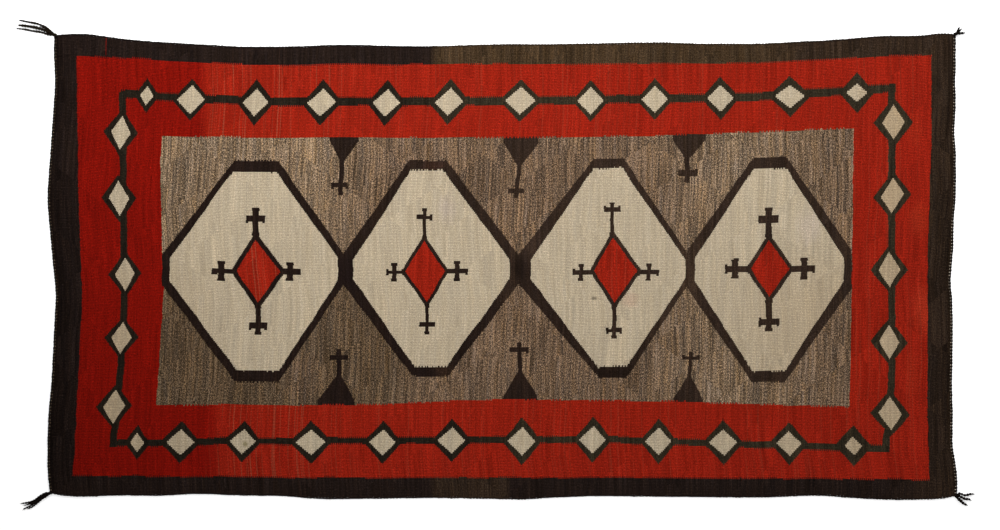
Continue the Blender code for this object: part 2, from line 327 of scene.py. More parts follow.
for x0, x1, base, shoulder, nx, ny, tx, ty, wide, bx, by, half, thick in SPADES:
    stem = wide / 2
    spade = [(x0, base), (x0 + 1, shoulder), (nx - stem, ny), (tx - stem, ty),
             (tx + stem, ty), (nx + stem, ny), (x1 - 1, shoulder), (x1, base)]
    yarn[(inside(spade) | level_bar(bx, by, half, thick - 2)) & ground] = OUTLINE
for outer, _ in MEDALLIONS:
    yarn[inside(medallion(*outer), TOOTH["outline"])] = OUTLINE
for _, inner in MEDALLIONS:
    yarn[inside(medallion(*inner), TOOTH["cream"])] = CREAM
for x0, x1, top, bottom, line, tx, bx in HEARTS:
    cy = (top + bottom) / 2
    yarn[inside([(tx, top), (x1, cy), (bx, bottom), (x0, cy)])] = OUTLINE
    rise = line * (top - bottom) / (x1 - x0)
    yarn[inside([(tx, top - rise), (x1 - line, cy), (bx, bottom + rise), (x0 + line, cy)])] = RED
for cx, cy, reach, half, stem, thick, root in UPRIGHT_CROSSES:
    middle = (root + cy + reach) / 2
    cross = upright_bar(cx, middle, abs(cy + reach - root) / 2, stem) | level_bar(cx, cy, half, thick)
    yarn[cross & (yarn != RED)] = OUTLINE
for cx, cy, reach, half, thick, stem, root in LEVEL_CROSSES:
    middle = (root + cx + reach) / 2
    cross = level_bar(middle, cy, abs(cx + reach - root) / 2, thick) | upright_bar(cx, cy, half, stem)
    yarn[cross & (yarn != RED)] = OUTLINE
yarn[inside(bar(STRAY_WEFT[0] - 0.65, STRAY_WEFT[1], STRAY_WEFT[0] + 0.65, STRAY_WEFT[2]))] = RED

# The ribbed face. Each rib has a crest over its warp between two shoulders, and shares the grooves
# at its sides with its neighbours. It is cut where its yarn changes, and every so often between.
rib_cuts = []
for warp, row in enumerate(yarn):
    from_rim = min(warp, WARPS - 1 - warp)
    ease = next((step for depth, step in RIM_EASE if from_rim < depth), EASE)
    regular = np.r_[np.arange(0, WEFTS, ease), WEFTS]
    rib_cuts.append(np.union1d(regular, np.flatnonzero(np.diff(row)) + 1))
groove_cuts = [np.union1d(a, b) for a, b in zip([rib_cuts[0]] + rib_cuts, rib_cuts + [rib_cuts[-1]])]


def face_height(places):
    """How far the cloth's face has swelled at places on the floor, in millimetres."""
    rise = np.zeros(len(places))
    for cx, cy, half_length, half_width, height in SWELLS:
        off_x = (places[:, 0] / MM - cx) / half_length
        off_y = (places[:, 1] / MM - cy) / half_width
        away = off_x**2 + off_y**2
        rise += height * np.exp(-away)
    return rise


# The cloth's usual length, by which its weave is mapped
CLOTH_METRES = 2.36
points, weave_uv, line_start = [], [], {}


def add_line(name, cuts, warp, height):
    """Lays a line of points along the cloth at a place across it, counted in warps."""
    line_start[name] = sum(len(p) for p in points)
    share = cuts / WEFTS
    places = on_cloth(share, np.full(len(cuts), warp / WARPS))
    rise = height + (face_height(places) if height > 0 else 0.0)
    points.append(np.column_stack((places, np.broadcast_to(rise, len(cuts)) * MM)))
    weave_uv.append(np.column_stack((share * CLOTH_METRES, np.full(len(cuts), warp))))


for warp in range(WARPS + 1):
    edge = warp in (0, WARPS)
    add_line(("groove", warp), groove_cuts[warp], warp, RIM_HEIGHT if edge else GROOVE_HEIGHT)
    add_line(("under", warp), groove_cuts[warp], warp, 0)
    if warp < WARPS:
        for k, place in enumerate(SHOULDERS):
            add_line(("shoulder", k, warp), rib_cuts[warp], warp + place, CREST_HEIGHT)


def span(name, cuts, low, high):
    """The indices of a line's points from one cut to another, both ends included."""
    first, last = np.searchsorted(cuts, (low, high))
    return list(range(line_start[name] + first, line_start[name] + last + 1))


faces, face_yarn, face_side = [], [], []
for warp in range(WARPS):
    cuts = rib_cuts[warp]
    lower, upper = groove_cuts[warp], groove_cuts[warp + 1]
    for low, high in zip(cuts, cuts[1:]):
        a = span(("groove", warp), lower, low, high)
        b = span(("shoulder", 0, warp), cuts, low, high)
        c = span(("shoulder", 1, warp), cuts, low, high)
        d = span(("groove", warp + 1), upper, low, high)
        p = span(("under", warp), lower, low, high)
        q = span(("under", warp + 1), upper, low, high)
        made = [(a + b[::-1], "top"), (b + c[::-1], "top"), (c + d[::-1], "top"), (q + p[::-1], "under")]
        if warp == 0:
            made.append((p + a[::-1], "near"))
        if warp == WARPS - 1:
            made.append((d + q[::-1], "far"))
        if low == 0:
            made.append(([p[0], a[0], b[0], c[0], d[0], q[0]], "left"))
        if high == WEFTS:
            made.append(([q[-1], d[-1], c[-1], b[-1], a[-1], p[-1]], "right"))
        for corners, side in made:
            faces.append(corners)
            face_side.append(side)
            face_yarn.append(int(yarn[warp, low]))

points = np.concatenate(points)
weave_uv = np.concatenate(weave_uv)
mesh = bpy.data.meshes.new("woven_cloth")
mesh.from_pydata(points.tolist(), [], faces)
mesh.polygons.foreach_set("material_index", face_yarn)
mesh.polygons.foreach_set("use_smooth", [side in ("top", "under") for side in face_side])

# One map runs with the weave, in metres along and warps across. The other lays the face over the
# underside, each as flat as it lies, with the edge's thin walls just outside them.
MAP_SPAN = 2.45
WALL_OUT = 0.005
corner_point = np.zeros(len(mesh.loops), int)
mesh.loops.foreach_get("vertex_index", corner_point)
weave_map = mesh.uv_layers.new(name="Weave")
weave_map.data.foreach_set("uv", weave_uv[corner_point].ravel())
flat = points[corner_point, :2].copy()
corner_side = np.repeat(face_side, [len(f) for f in faces])
outward = {"near": (0, -1), "far": (0, 1), "left": (-1, 0), "right": (1, 0)}
for side, (ox, oy) in outward.items():
    low_corner = (corner_side == side) & (points[corner_point, 2] < 0.0005)
    flat[low_corner] += (ox * WALL_OUT, oy * WALL_OUT)
flat = (flat + (MAP_SPAN / 2, MAP_SPAN / 4)) / MAP_SPAN
flat[corner_side != "under", 1] += 0.5
bake_map = mesh.uv_layers.new(name="OFBake")
bake_map.data.foreach_set("uv", flat.ravel())
mesh.update()

cloth = bpy.data.objects.new("woven_cloth", mesh)
bpy.context.scene.collection.objects.link(cloth)

# Hand-spun wool, dyed or left as it grew. Each yarn came in two or three batches. Their tones are
# linear red, green and blue.
BATCHES = {
    "border": {
        "black": (0.015, 0.009, 0.007),
        "brown": (0.05, 0.03, 0.015),
        "dun": (0.03, 0.018, 0.011),
    },
    "red": {
        "crimson": (0.2, 0.005, 0.002),
        "scarlet": (0.27, 0.013, 0.005),
    },
    "link": {
        "black": (0.015, 0.011, 0.007),
        "brown": (0.028, 0.021, 0.012),
    },
    "cream": {
        "cream": (0.44, 0.36, 0.25),
        "yellowed": (0.39, 0.29, 0.18),
    },
    "grey": {
        "light": (0.19, 0.13, 0.08),
        "middling": (0.14, 0.09, 0.055),
        "dark": (0.1, 0.065, 0.037),
    },
    "outline": {
        "black": (0.014, 0.008, 0.006),
        "brown": (0.03, 0.018, 0.012),
    },
}

# Where the batches changed as the rug grew, from left to right in millimetres, for its far half and
# its near half
CHANGES = {
    "border": (
        [(-190, "black"), (-180, "brown"), (650, "brown"), (800, "dun")],
        [(-190, "black"), (-180, "dun"), (0, "dun"), (20, "black"), (1000, "black"), (1190, "dun")],
    ),
    "red": ([(-800, "crimson"), (-770, "scarlet")], [(-770, "crimson"), (-740, "scarlet")]),
    "link": ([(-300, "black"), (-100, "brown")], [(-100, "black"), (100, "brown")]),
    "cream": (
        [(900, "cream"), (1000, "yellowed")],
        [(-1190, "yellowed"), (-700, "cream"), (500, "cream"), (1190, "yellowed")],
    ),
    "grey": (
        [(-500, "light"), (-300, "middling"), (350, "middling"), (600, "light"), (900, "middling")],
        [(-300, "dark"), (-200, "middling"), (300, "middling"), (600, "light"), (900, "middling")],
    ),
    "outline": ([(-600, "black"), (200, "brown")], [(-200, "black"), (600, "brown")]),
}
TONES = {
    name: tuple([(place, BATCHES[name][batch]) for place, batch in half] for half in halves)
    for name, halves in CHANGES.items()
}

# How uneven each yarn is. Columns: streaks along the wefts, broad bands, salt-and-pepper of carded
# fleece, shade in the grooves, warm and cool tints, lines where pale warps peep out, pale specks, and
# how far the usual tone lies under the mean one.
CHARACTER = {
    "border": (0.42, 0.24, 1.10, 0.36, 0.12, 0.04, 0.9, 0.13),
    "red": (0.20, 0.12, 0.74, 0.42, 0.08, 0.34, 0.9, 0.06),
    "link": (0.36, 0.24, 0.90, 0.30, 0.12, 0.03, 0.7, 0.09),
    "cream": (0.13, 0.08, 0.50, 0.40, 0.04, 0.0, -0.3, 0.03),
    "grey": (0.66, 0.20, 2.30, 0.26, 0.17, 0.0, 0.3, 0.27),
    "outline": (0.34, 0.20, 0.90, 0.30, 0.10, 0.03, 0.5, 0.08),
}

# The marks that show on the rug: x, y, half length, half width, and what each does to red, green and
# blue. The pale patches on the red at its right edge are painted highlights, standing in for the light
# on the cockles there. Dye has run into a medallion, and the dark outlines are browner where another
# batch was used.
STAINS_AND_PAINTED_LIGHT = {
    "border": [],
    "red": [
        # Painted highlights: pale patches for the light on the cockles at the right edge
        (1085, 130, 25, 45, 1.1, 1.5, 1.4), (1100, -105, 30, 65, 1.2, 1.8, 1.8),
        (1075, 365, 20, 45, 1.1, 1.3, 1.2), (1070, -275, 20, 50, 1.1, 1.3, 1.2),
    ],
    "link": [],
    "cream": [
        (-150, 160, 20, 35, 1.0, 1.0, 1.1), (330, -80, 20, 20, 1.0, 0.9, 0.9),
        (236, -75, 8, 4, 0.4, 0.4, 0.4), (-679, -457, 7, 7, 0.6, 0.6, 0.5),
        (800, 110, 30, 45, 1.1, 1.1, 1.2), (720, 130, 20, 25, 1.1, 1.1, 1.1),
    ],
    "grey": [
        (-530, -290, 45, 70, 1.2, 1.2, 1.3),
    ],
    "outline": [
        (42, 6, 15, 35, 0.5, 0.5, 0.5), (486, 0, 45, 90, 1.5, 1.5, 1.4),
        (5, -50, 30, 50, 1.5, 1.5, 1.4), (70, 45, 40, 50, 1.3, 1.3, 1.3),
        (410, -120, 40, 60, 1.4, 1.4, 1.3), (-155, -266, 25, 20, 1.8, 1.7, 1.5),
        (-185, 272, 30, 14, 1.8, 1.5, 1.4), (-415, 0, 30, 60, 0.8, 0.8, 0.9),
        (275, -270, 60, 22, 0.6, 0.6, 0.6),
    ],
}
PALE_WARP = (0.42, 0.18, 0.09)

# How far tones are read to each side of the rug's middle, and how far its two halves blend, in
# millimetres
RAMP_REACH = 1250
HALF_BLEND = 120


def add(tree, kind, sockets=(), **settings):
    """Adds a node, sets it up, and gives its sockets their links or values."""
    made = tree.nodes.new(kind)
    for name, value in settings.items():
        setattr(made, name, value)
    for socket, value in dict(sockets).items():
        if isinstance(value, bpy.types.NodeSocket):
            tree.links.new(value, made.inputs[socket])
        else:
            made.inputs[socket].default_value = value
    return made


def sum_of(tree, kind, *values):
    """The values joined two by two by a Math operation. One that takes a single value has a zero beside
    it."""
    total = values[0]
    for value in values[1:]:
        total = add(tree, "ShaderNodeMath", {0: total, 1: value}, operation=kind).outputs[0]
    return total


def remap(tree, value, low, high, start=0.0, end=1.0, kind="LINEAR"):
    """A value carried from one range to another, and held at its ends."""
    ends = {"Value": value, 1: low, 2: high, 3: start, 4: end}
    made = add(tree, "ShaderNodeMapRange", ends, interpolation_type=kind)
    return made.outputs[0]


def ramp(tree, where, tones):
    """A tone read across the rug from a table of places and tones."""
    made = add(tree, "ShaderNodeValToRGB", {"Fac": where})
    stops = made.color_ramp.elements
    while len(stops) < len(tones):
        stops.new(0.5)
    for stop, (place, tone) in zip(stops, tones):
        stop.position = (place + RAMP_REACH) / (2 * RAMP_REACH)
        stop.color = (*tone, 1)
    return made.outputs["Color"]


def tone_on_rug(tree, floor_x, floor_y, far_tones, near_tones):
    """A yarn's tone where it lies, read along each half of the rug and blended over the middle line."""
    across = remap(tree, floor_x, -RAMP_REACH * MM, RAMP_REACH * MM)
    half = remap(tree, floor_y, -HALF_BLEND * MM, HALF_BLEND * MM, kind="SMOOTHSTEP")
    tone = add(tree, "ShaderNodeMix", {0: half}, data_type="RGBA")
    tree.links.new(ramp(tree, across, near_tones), tone.inputs[6])
    tree.links.new(ramp(tree, across, far_tones), tone.inputs[7])
    return tone.outputs[2]


def wool(name):
    """A weft-faced wool surface in one yarn."""
    streaks, bands, pepper, shade, tint, peeping, specks, under = CHARACTER[name]
    far_tones, near_tones = TONES[name]
    material = bpy.data.materials.new("wool_" + name)
    material.use_nodes = True
    tree = material.node_tree
    shader = tree.nodes["Principled BSDF"]
    weave = add(tree, "ShaderNodeUVMap", uv_map="Weave").outputs["UV"]
    u, v, _ = add(tree, "ShaderNodeSeparateXYZ", {0: weave}).outputs
    place = add(tree, "ShaderNodeTexCoord").outputs["Object"]
    floor_x, floor_y, _ = add(tree, "ShaderNodeSeparateXYZ", {0: place}).outputs

    def times(value, factor):
        return sum_of(tree, "MULTIPLY", value, factor)

    # The slow wander of the wefts, which every streak follows
    slow = add(tree, "ShaderNodeMapping", {"Vector": weave, "Scale": (5.0, 0.03, 1.0)}).outputs[0]
    sway = add(tree, "ShaderNodeTexNoise", {"Vector": slow, "Scale": 1.0, "Detail": 1.0})
    u = sum_of(tree, "ADD", u, times(sum_of(tree, "SUBTRACT", sway.outputs[0], 0.5), 0.012))

    # The weaver filled the ground a part at a time, up to slanting joins. The streaks change over them.
    leaning = sum_of(tree, "ADD", times(u, 4.2), times(v, 0.024))
    falling = sum_of(tree, "SUBTRACT", times(u, 5.1), times(v, 0.031))
    stepped = times(sum_of(tree, "FLOOR", leaning, 0.0), 3.7)
    part_woven = sum_of(tree, "ADD", stepped, sum_of(tree, "FLOOR", falling, 0.0))

    def grain(along_mm, across_warps, seed, detail=0.0, parted=True):
        """Noise with cells so long along the rug, and so many warps across, from about -1 to 1. Broad
        noise changes from one woven part to the next, unless parted is False."""
        depth = float(seed)
        if parted and across_warps > 5:
            depth = sum_of(tree, "ADD", part_woven, depth)
        cells = {0: times(u, 1000 / along_mm), 1: times(v, 1 / across_warps), 2: depth}
        spot = add(tree, "ShaderNodeCombineXYZ", cells).outputs[0]
        noise = add(tree, "ShaderNodeTexNoise", {"Vector": spot, "Scale": 1.0, "Detail": detail})
        return times(sum_of(tree, "SUBTRACT", noise.outputs[0], 0.5), 3.0)

    # The tone where it lies on the rug
    colour = tone_on_rug(tree, floor_x, floor_y, far_tones, near_tones)

    # Stained and worn places, and pale patches of painted highlight on the red's cockles
    for cx, cy, half_length, half_width, *change in STAINS_AND_PAINTED_LIGHT[name]:
        spread = (1000 / half_length, 1000 / half_width, 0.0)
        middle = (-cx / half_length, -cy / half_width, 0.0)
        offset = add(tree, "ShaderNodeMapping", {"Vector": place, "Location": middle, "Scale": spread})
        away = add(tree, "ShaderNodeVectorMath", {0: offset.outputs[0]}, operation="LENGTH")
        ragged = sum_of(tree, "ADD", away.outputs["Value"], times(grain(14, 6, 11, 2.0), 0.35))
        soft = remap(tree, ragged, 0.3, 1.5, 1.0, 0.0, "SMOOTHSTEP")
        stained_and_lit = add(tree, "ShaderNodeVectorMath", {0: colour, 1: change}, operation="MULTIPLY")
        sources = {0: soft, 6: colour, 7: stained_and_lit.outputs[0]}
        colour = add(tree, "ShaderNodeMix", sources, data_type="RGBA").outputs[2]

    # Warm and cool fleece side by side
    warmth = times(sum_of(tree, "ADD", grain(9, 50, 7, 2.0), times(grain(3.2, 8.0, 8), 0.5)), tint)
    hue = add(tree, "ShaderNodeCombineXYZ", {
        0: sum_of(tree, "ADD", 1.0, times(warmth, 0.5)), 1: 1.0, 2: sum_of(tree, "SUBTRACT", 1.0, warmth),
    })
    tinted = add(tree, "ShaderNodeVectorMath", {0: colour, 1: hue.outputs[0]}, operation="MULTIPLY")
    colour = tinted.outputs[0]

    # Streaks of single wefts and of bands of them, and the specks of the carded fleece
    parts = [
        times(grain(2.4, 24, 1), streaks),
        times(grain(6.5, 60, 2), streaks * 0.8),
        times(grain(34, 150, 3, 2.0), bands),
        times(grain(1.15, 0.62, 4, 1.0), pepper),
        times(grain(2.2, 1.2, 5, 1.0), pepper * 0.7),
    ]

    # Shade in the grooves between ribs
    rib = sum_of(tree, "COSINE", times(v, 2 * math.pi), 0.0)
    parts.append(times(rib, -shade / 2))

    # Scattered specks, where a tuft of other fleece was spun in
    cells = add(tree, "ShaderNodeTexVoronoi", {"Vector": place, "Scale": 42.0})
    speck = remap(tree, cells.outputs["Distance"], 0.035, 0.065, 1.0, 0.0)
    some = remap(tree, grain(40, 12, 12), 0.15, 0.4)
    parts.append(times(times(speck, some), specks))
    uneven = add(tree, "ShaderNodeClamp", {0: sum_of(tree, "ADD", -under, *parts), 1: -1.7, 2: 1.2})
    amount = sum_of(tree, "POWER", math.e, uneven.outputs[0])
    colour = add(tree, "ShaderNodeVectorMath", {0: colour, "Scale": amount}, operation="SCALE").outputs[0]

    # Lines of dots where the pale warp peeps out between loosely packed wefts, most of them far left
    if peeping:
        line = remap(tree, grain(2.6, 110, 9.5, parted=False), 0.40, 0.85)
        loose = remap(tree, floor_x, -0.80, -0.74)
        packed = remap(tree, floor_x, -0.56, -0.40, 1.0, 0.30)
        dots = remap(tree, rib, -0.6, 0.9, 1.0, 0.15)
        shows = sum_of(tree, "MULTIPLY", line, loose, packed, dots, peeping)
        sources = {0: shows, 6: colour, 7: (*PALE_WARP, 1)}
        colour = add(tree, "ShaderNodeMix", sources, data_type="RGBA").outputs[2]

    tree.links.new(colour, shader.inputs["Base Color"])
    shader.inputs["Roughness"].default_value = 0.92
    shader.inputs["Specular IOR Level"].default_value = 0.03

    # Bumps: each weft a bead over every other warp, and the fuzz of the wool
    beads = times(u, 1000 / WEFT_PITCH * math.pi)
    shifted = sum_of(tree, "ADD", beads, times(sum_of(tree, "FLOOR", v, 0.0), math.pi / 2))
    bead = sum_of(tree, "ABSOLUTE", sum_of(tree, "SINE", shifted, 0.0), 0.0)
    height = sum_of(tree, "ADD", times(bead, 0.6), times(grain(0.9, 0.3, 6, 2.0), 0.25))
    bump = add(tree, "ShaderNodeBump", {"Strength": 0.6, "Distance": 0.0004, "Height": height})
    tree.links.new(bump.outputs[0], shader.inputs["Normal"])
    return material


for name in ("border", "red", "link", "cream", "grey", "outline"):
    cloth.data.materials.append(wool(name))
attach(cloth, "root")
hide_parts("woven_field")

# THE SIDE CORDS
# A two-ply cord of dark wool runs along each long edge. The wefts are caught round it as they turn,
# so it shows as a row of slanting bumps. Its centre runs where the CAD cord's does.
CORD_OUT = 2.55
CORD_LIFT = 2.35
CORD_PLY = 1.46
CORD_TURN = 16.8
RING_STEP = 1.35
CORD_SIDES = 12


def twist(line, ply, turn, sides=CORD_SIDES, start=0.0):
    """A two-ply yarn round a line of points in metres: its rings of points, and how far along each is."""
    walked = np.r_[0, np.cumsum(np.linalg.norm(np.diff(line, axis=0), axis=1))]
    ahead = np.gradient(line, axis=0)
    ahead /= np.linalg.norm(ahead, axis=1)[:, None]
    across = np.cross(ahead, (0, 0, 1))
    across /= np.linalg.norm(across, axis=1)[:, None]
    over = np.cross(across, ahead)
    turned = np.arange(sides) / sides * 2 * math.pi
    # Two plies side by side make a figure of eight
    reach = 0.8 * np.abs(np.cos(turned)) + np.sqrt(1 - 0.64 * np.sin(turned) ** 2)
    angle = turned[None, :] + (2 * math.pi * walked / turn + start)[:, None]
    reach = reach[None, :] * np.broadcast_to(ply, len(line))[:, None]
    rings = line[:, None] + across[:, None] * (reach * np.cos(angle))[..., None]
    rings = rings + over[:, None] * (reach * np.sin(angle))[..., None]
    rings[..., 2] = rings[..., 2].clip(0.0)
    return rings, walked


def yarn_piece(name, yarns, folds=0):
    """One mesh of several twisted yarns, with a map that runs along and round each. A long one is also
    laid out in folds for its bake."""
    points, faces, along_yarn, laid_out = [], [], [], []
    for rings, walked in yarns:
        count, sides = rings.shape[:2]
        first = sum(len(p) for p in points)
        points.append(rings.reshape(-1, 3))
        for i in range(count - 1):
            a, b = first + i * sides, first + (i + 1) * sides
            for k in range(sides):
                n = (k + 1) % sides
                faces.append((a + k, a + n, b + n, b + k))
                w0, w1, k0, k1 = walked[i], walked[i + 1], k / sides, (k + 1) / sides
                along_yarn += [(w0, k0), (w0, k1), (w1, k1), (w1, k0)]
                if folds:
                    per_fold = math.ceil((count - 1) / folds)
                    fold, place = divmod(i, per_fold)
                    x0, x1 = 0.002 + 0.996 * place / per_fold, 0.002 + 0.996 * (place + 1) / per_fold
                    y0 = (fold + 0.05 + 0.9 * k0) / (folds + 1)
                    y1 = (fold + 0.05 + 0.9 * k1) / (folds + 1)
                    laid_out += [(x0, y0), (x0, y1), (x1, y1), (x1, y0)]
        for ring, order in ((0, 1), (count - 1, -1)):
            cap = [first + ring * sides + k for k in range(sides)][::-order]
            faces.append(cap)
            along_yarn += [(walked[ring], k / sides) for k in range(sides)]
            spot_x, spot_y = 0.02 + 0.04 * (ring > 0), (folds + 0.5) / (folds + 1)
            laid_out += [(spot_x + 0.01 * math.cos(k), spot_y + 0.01 * math.sin(k))
                         for k in np.arange(sides) / sides * 2 * math.pi]
    mesh = bpy.data.meshes.new(name)
    mesh.from_pydata(np.concatenate(points).tolist(), [], faces)
    mesh.polygons.foreach_set("use_smooth", [True] * len(faces))
    mesh.uv_layers.new(name="Yarn").data.foreach_set("uv", np.array(along_yarn, float).ravel())
    if folds:
        mesh.uv_layers.new(name="OFBake").data.foreach_set("uv", np.array(laid_out, float).ravel())
    mesh.update()
    piece = bpy.data.objects.new(name, mesh)
    bpy.context.scene.collection.objects.link(piece)
    return piece


def cord_wool(name, far_tones, near_tones, dim=1.0):
    """Twisted wool yarn, with its fibres lying along the plies and its tone read across the rug. A dim
    below one darkens it; on the side cords that is painted shade.
    """
    material = bpy.data.materials.new(name)
    material.use_nodes = True
    tree = material.node_tree
    shader = tree.nodes["Principled BSDF"]
    spot = add(tree, "ShaderNodeTexCoord").outputs["Object"]
    floor_x, floor_y, _ = add(tree, "ShaderNodeSeparateXYZ", {0: spot}).outputs
    tone = tone_on_rug(tree, floor_x, floor_y, far_tones, near_tones)
    yarn_map = add(tree, "ShaderNodeUVMap", uv_map="Yarn").outputs["UV"]
    slant = {"Vector": yarn_map, "Scale": (260.0, 9.0, 1.0), "Rotation": (0, 0, 0.5)}
    fibres = add(tree, "ShaderNodeMapping", slant)
    streak = add(tree, "ShaderNodeTexNoise", {"Vector": fibres.outputs[0], "Scale": 1.0, "Detail": 3.0})
    patches = add(tree, "ShaderNodeTexNoise", {"Vector": spot, "Scale": 45.0, "Detail": 2.0})
    amount = sum_of(tree, "ADD", sum_of(tree, "MULTIPLY", streak.outputs[0], 1.1 * dim),
                    sum_of(tree, "MULTIPLY", patches.outputs[0], 0.9 * dim))
    shown = add(tree, "ShaderNodeVectorMath", {0: tone}, operation="SCALE")
    tree.links.new(amount, shown.inputs["Scale"])
    tree.links.new(shown.outputs[0], shader.inputs["Base Color"])
    shader.inputs["Roughness"].default_value = 0.9
    shader.inputs["Specular IOR Level"].default_value = 0.05
    bump = add(tree, "ShaderNodeBump", {"Strength": 0.7, "Distance": 0.0003, "Height": streak.outputs[0]})
    tree.links.new(bump.outputs[0], shader.inputs["Normal"])
    return material


def edge_cord(name, edge, out, node, material, folds, seed, thick=CORD_PLY):
    """A cord along one edge of the cloth, just outside its rim, drawn tighter here and there."""
    length = np.hypot(*np.diff(edge, axis=0).T).sum()
    share = np.linspace(0.0004, 0.9996, int(length / (RING_STEP * MM)))
    uneven = np.random.default_rng(seed)
    steps = share * length / MM
    slack = drift(uneven, steps, 6.0, 0.28) + drift(uneven, steps, 34.0, 0.22)
    line = along(edge, share) + np.array(out) * (CORD_OUT + slack.clip(-0.5, 0.6))[:, None] * MM
    line = np.column_stack((line, np.full(len(line), CORD_LIFT * MM)))
    ply = thick * (1 + drift(uneven, steps, 8.0, 0.09).clip(-0.15, 0.15)) * MM
    rings, walked = twist(line, ply, CORD_TURN * MM)
    cord = yarn_piece(name, [(rings, walked)], folds)
    cord.data.materials.append(material)
    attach(cord, "root")
    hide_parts(node)
    return line, walked


# The side cords take the border's tones a quarter darker: painted shade along the rug's long edges
side_wool = cord_wool("side_cord_wool", *TONES["border"], dim=0.75)
edge_cord("side_cord_far_twist", far_rim, (0, 1), "side_cord_far", side_wool, 15, 51)
edge_cord("side_cord_near_twist", near_rim, (0, -1), "side_cord_near", side_wool, 15, 52)

# THE END CORDS AND THE WARP LOOPS
# The same kind of cord is twined through the loops of the warp at each short end. The loops show
# between its bumps as small light dots, a pair of undyed warps in each.
END_PLY = 1.5
LOOP_LENGTH = 3.6
LOOP_WIDTH = 2.8
LOOP_HEIGHT = 2.4
LOOP_IN = 2.5
LOOP_LIFT = 0.9
LEFT_LOOPS = (0.190, 0.130, 0.085)
RIGHT_LOOPS = (0.460, 0.380, 0.290)


def warp_loops(name, line, walked, out, tone):
    """A small rounded loop in each hollow between the cord's bumps, all one mesh."""
    hollows = np.arange(CORD_TURN * MM / 4, walked[-1], CORD_TURN * MM / 2)
    spots = np.column_stack([np.interp(hollows, walked, line[:, k]) for k in range(3)])
    spots[:, :2] -= np.array(out) * LOOP_IN * MM
    wander = np.random.default_rng(7)
    turned = np.arange(8) / 8 * 2 * math.pi
    tilts = np.array([-0.75, -0.25, 0.25, 0.75]) * math.pi / 2
    ball = np.array([
        (math.cos(tilt) * math.cos(a), math.cos(tilt) * math.sin(a), math.sin(tilt))
        for tilt in tilts for a in turned
    ])
    points, faces = [], []
    for spot in spots:
        size = np.array((LOOP_LENGTH, LOOP_WIDTH, LOOP_HEIGHT)) / 2 * MM * wander.uniform(0.75, 1.15)
        first = len(points)
        points += (ball * size + spot + (0, wander.normal(0, 0.3) * MM, LOOP_LIFT * MM)).tolist()
        for ring in range(3):
            for k in range(8):
                a, b = first + ring * 8 + k, first + ring * 8 + (k + 1) % 8
                faces.append((a, b, b + 8, a + 8))
        faces.append([first + k for k in range(8)][::-1])
        faces.append([first + 24 + k for k in range(8)])
    mesh = bpy.data.meshes.new(name)
    mesh.from_pydata(points, [], faces)
    mesh.polygons.foreach_set("use_smooth", [True] * len(faces))
    mesh.update()
    loops = bpy.data.objects.new(name, mesh)
    bpy.context.scene.collection.objects.link(loops)
    material = bpy.data.materials.new(name + "_wool")
    material.use_nodes = True
    tree = material.node_tree
    shader = tree.nodes["Principled BSDF"]
    spot = add(tree, "ShaderNodeTexCoord").outputs["Object"]
    patches = add(tree, "ShaderNodeTexNoise", {"Vector": spot, "Scale": 60.0, "Detail": 2.0})
    worn = remap(tree, patches.outputs[0], 0.35, 0.65, 0.35, 1.2)
    shown = add(tree, "ShaderNodeVectorMath", {0: tone}, operation="SCALE")
    tree.links.new(worn, shown.inputs["Scale"])
    tree.links.new(shown.outputs[0], shader.inputs["Base Color"])
    shader.inputs["Roughness"].default_value = 0.9
    shader.inputs["Specular IOR Level"].default_value = 0.05
    fibre = add(tree, "ShaderNodeTexNoise", {"Vector": spot, "Scale": 2500.0, "Detail": 1.0})
    bump = add(tree, "ShaderNodeBump", {"Strength": 0.5, "Distance": 0.0002, "Height": fibre.outputs[0]})
    tree.links.new(bump.outputs[0], shader.inputs["Normal"])
    loops.data.materials.append(material)
    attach(loops, "root")


END_TONES = [(-1250, (0.0060, 0.0046, 0.0038)), (1250, (0.0080, 0.0056, 0.0044))]
end_wool = cord_wool("end_cord_wool", END_TONES, END_TONES)
for side_name, edge, out, seed, loop_tone in (
    ("left", left_rim, (-1, 0), 53, LEFT_LOOPS),
    ("right", right_rim, (1, 0), 54, RIGHT_LOOPS),
):
    cord_line, cord_walked = edge_cord(
        "end_cord_" + side_name + "_twist", edge, out, "end_cord_" + side_name, end_wool,
        8, seed, END_PLY,
    )
    warp_loops("warp_loops_" + side_name, cord_line, cord_walked, out, loop_tone)

# THE CORNER TASSELS
# Where the cords meet at a corner they are knotted, and their loose plies are left hanging out. They
# lie on the floor and thin out to frayed tips. The sizes are in millimetres.
CORNERS = {
    "near_left": (-1190, -586), "near_right": (1186, -593),
    "far_right": (1183, 617), "far_left": (-1177, 614),
}

# How far past its knot a tassel's strands come to lie on the floor
SETTLE = {"far_left": 16, "near_left": 62, "far_right": 9, "near_right": 14}

